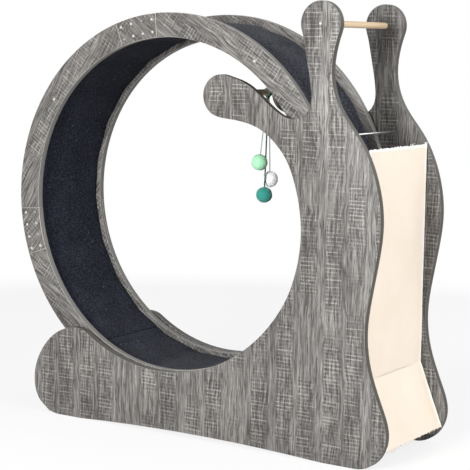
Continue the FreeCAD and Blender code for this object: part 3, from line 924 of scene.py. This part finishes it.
def buildBall(name, look, body):
    low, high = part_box(name + "_ball")
    radius = (high.x - low.x) / 2
    center = Vector(((low.x + high.x) / 2, (low.y + high.y) / 2, low.z + radius))
    bpy.ops.mesh.primitive_ico_sphere_add(subdivisions=6, radius=radius, location=center)
    ball = startPiece(camelName(name) + "Ball")
    (broad, broadScale), (small, smallScale) = toyShape["broad"], toyShape["small"]
    for vertex in ball.data.vertices:
        outward = (vertex.co - center).normalized()
        lump = broad * noise.noise(outward * broadScale + center * 40)
        lump += small * noise.noise(outward * smallScale)
        vertex.co += outward * (toyShape["lump"] * lump - toyShape["sink"])
    ball.data.materials.append(feltMaterial(camelName(name) + "Felt", look["felt"], look["relief"],
                                            look["halo"]))
    smoothShade(ball, 60)
    finishPiece(ball, body, name + "_ball")
    return center, radius


def buildToys():
    dowelLow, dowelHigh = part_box("toy_dowel")
    for name, look in toys.items():
        body, camel = name + "_toy", camelName(name)
        pivot = Vector(joints[name + "_toy_swing"]["pos_m"])
        center, radius = buildBall(name, look, body)

        cordLow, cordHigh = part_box(name + "_cord")
        diameter = cordHigh.x - cordLow.x
        knot = Vector((pivot.x, pivot.y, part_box(name + "_loop")[0].z + diameter * toyShape["knotDrop"]))
        start = Vector((pivot.x, pivot.y, cordHigh.z))
        end = center - (center - knot).normalized() * (radius - diameter * toyShape["cordSink"])
        middle = (start + end) / 2 + Vector((toyShape["sag"], 0, 0))
        curve = newCurve(camel + "Cord", diameter / 2, 4)
        spline = addSpline(curve, "NURBS", (start, middle, end))
        spline.order_u = 3
        spline.use_endpoint_u = True
        curve.materials.append(cordMaterial(camel + "CordCloth", look["cord"], diameter))
        cordPiece = newObject(camel + "Cord", curve)
        finishPiece(cordPiece, body, name + "_cord")

        around = (dowelHigh.x - dowelLow.x + diameter) / 2 + toyShape["wrapGap"]
        loopPiece = buildLoop(camel + "Loop", pivot, around, diameter, look["turns"], knot)
        loopPiece.data.materials.append(cordMaterial(camel + "KnotCloth", look["knot"], diameter))
        smoothShade(loopPiece, 60)
        finishPiece(loopPiece, body, name + "_loop")


def buildLoop(name, pivot, around, diameter, turns, knot):
    # the cord wound round the dowel, then a small overhand knot under it
    wound, tied = [], []
    steps = toyShape["wrapSteps"]
    for i in range(turns * steps + 1):
        angle = 2 * math.pi * i / steps - math.pi / 2
        wound.append(pivot + Vector((around * math.cos(angle),
                                     (i / steps - turns / 2) * diameter * toyShape["wrapPitch"],
                                     around * math.sin(angle))))
    for i in range(toyShape["knotSteps"]):
        t = 2 * math.pi * i / toyShape["knotSteps"]
        lobe = Vector(((math.cos(t) - 2 * math.cos(2 * t)) * 0.8, math.sin(3 * t) * 0.9,
                       (math.sin(t) + 2 * math.sin(2 * t)) * 0.8))
        tied.append(knot + lobe * diameter * toyShape["knotSize"])
    curve = newCurve(name, 1.0, 3)
    addSpline(curve, "POLY", wound, [diameter / 2] * len(wound))
    addSpline(curve, "POLY", tied, [diameter * toyShape["knotThread"]] * len(tied)).use_cyclic_u = True
    return meshOf(name, curve)


# boards, rollers and steel inside: the finish, the record's slot and the rounding of the edges in metres

crossPrint = sawnOakMaterial("crossBoardPrint", 90, (0.2, 0.4, 0.3))
plainPieces = {f"track_slats_{number}": (chipBoard, "board_core", 0.0006) for number in range(1, 5)}
plainPieces |= {
    "upper_scratch_board": (chipBoard, "board_core", 0.0008),
    "lower_scratch_board": (chipBoard, "board_core", 0.0008),
    "scratch_board_battens": (battenPine, "natural_wood", 0.0012),
    "tail_cross_board": (crossPrint, "panel_oak_print", 0.0007),
    "foot_cross_board": (crossPrint, "panel_oak_print", 0.0007),
    "tail_axle": (zincSteel, "steel", 0.0006), "foot_axle": (zincSteel, "steel", 0.0006),
    "tie_rod": (zincSteel, "steel", 0.0006), "axle_collars": (zincSteel, "steel", 0.0005),
    "axle_sockets": (socketPlastic, "socket_plastic", 0.0006),
}
for side in sides:
    for end in ("tail", "foot"):
        plainPieces[f"{side}_{end}_roller"] = (rollerNylon, "roller_nylon", 0.0006)
        plainPieces[f"{side}_{end}_bearings"] = (bearingSteel, "bearing_steel", 0.0002)


def buildPlainPieces():
    for name, (material, slotName, rounding) in plainPieces.items():
        piece = copyOf(name, camelName(name))
        piece.data.materials.append(material)
        roundEdges(piece, rounding)
        smoothShade(piece)
        finishPiece(piece, bodyOf[name], name)


# light, floor and camera

studio = {
    "world": 0.29, "target": (0.0, 0.0, 0.5), "floorSize": 40,
    "floor": (0.93, 0.93, 0.93), "floorBounce": 0.3, "floorGlow": 0.82, "floorFade": (0.7, 2.6),
    "lamps": {  # place and side of the square in metres, power in watts
        "keyLight": ((0.30, -3.7, 1.25), 1.0, 176),
        "fillLight": ((3.6, -0.8, 1.6), 2.2, 98),
        "rimLight": ((2.0, 3.4, 2.8), 2.4, 32),
    },
}


def addLamp(name, place, size, power):
    lamp = bpy.data.lights.new(name, "AREA")
    lamp.shape = "SQUARE"
    lamp.size = size
    lamp.energy = power
    holder = newObject(name, lamp)
    holder.location = place
    holder.rotation_euler = (Vector(studio["target"]) - Vector(place)).to_track_quat("-Z", "Y").to_euler()


def seenDirectly(tree):
    # 1 for what the camera sees, also in a mirror or through glass
    path = addNode(tree, "ShaderNodeLightPath").outputs
    seen = mathOf(tree, "MAXIMUM", path["Is Camera Ray"], path["Is Glossy Ray"])
    return mathOf(tree, "MAXIMUM", seen, path["Is Transmission Ray"])


def buildStudio():
    world = bpy.data.worlds.new("studioWorld")
    bpy.context.scene.world = world
    world.use_nodes = True
    tree = world.node_tree
    strength = addNode(tree, "ShaderNodeMix", {0: seenDirectly(tree), 2: studio["world"], 3: 1.0})
    setInputs(tree, tree.nodes["Background"], {"Color": (1, 1, 1, 1), "Strength": strength.outputs[0]})

    bpy.ops.mesh.primitive_plane_add(size=studio["floorSize"], location=(0, 0, 0))
    floor = startPiece("floor")
    material, tree, shader, place = newMaterial("paleFloor")
    seen = seenDirectly(tree)
    bounced = toned(studio["floor"], studio["floorBounce"])
    setInputs(tree, shader, {"Base Color": mixColor(tree, seen, bounced, studio["floor"]),
                             "Roughness": 0.7, "Specular IOR Level": 0.1})
    away = addNode(tree, "ShaderNodeVectorMath", {0: place}, operation="LENGTH").outputs["Value"]
    fade = mathOf(tree, "MAXIMUM", smoothStep(tree, away, *studio["floorFade"]), studio["floorGlow"])
    white = addNode(tree, "ShaderNodeEmission", {"Color": (1, 1, 1, 1), "Strength": 1.0})
    blend = addNode(tree, "ShaderNodeMixShader", {0: times(tree, fade, seen), 1: shader.outputs[0],
                                                  2: white.outputs[0]})
    tree.links.new(blend.outputs[0], tree.nodes["Material Output"].inputs["Surface"])
    floor.data.materials.append(material)
    for name, (place, size, power) in studio["lamps"].items():
        addLamp(name, place, size, power)


photoView = {
    "place": (1.98527, -3.01791, 0.92365),
    "right": (0.83813863, 0.54526882, 0.01433711),
    "up": (-0.08044938, 0.09757707, 0.99197107),
    "lens": 116.0, "sensor": 36.0, "clip": (0.05, 100),
}


def buildCamera():
    data = bpy.data.cameras.new("photoCamera")
    camera = newObject("photoCamera", data)
    right = Vector(photoView["right"]).normalized()
    back = right.cross(Vector(photoView["up"])).normalized()
    turn = Matrix((right, back.cross(right), back)).transposed().to_4x4()
    camera.matrix_world = Matrix.Translation(photoView["place"]) @ turn
    data.lens = photoView["lens"]
    data.sensor_width = photoView["sensor"]
    data.clip_start, data.clip_end = photoView["clip"]
    bpy.context.scene.camera = camera


buildStudio()
buildCamera()
bpy.context.scene.view_settings.view_transform = "Standard"
print("studio ready")
buildSidePanels()
print("side panels ready")
buildRings()
print("rings ready")
buildCaps()
print("screw caps ready")
buildCarpet("inner_carpet", innerCarpetCloth, waveInside=True)
buildCarpet("outer_carpet", outerCarpetCloth, waveInside=False)
print("carpets ready")
buildCover()
print("scratching surface ready")
buildDowels()
buildToys()
print("dowels and toys ready")
buildPlainPieces()
print("boards, rollers and steel ready")
deselectAll()
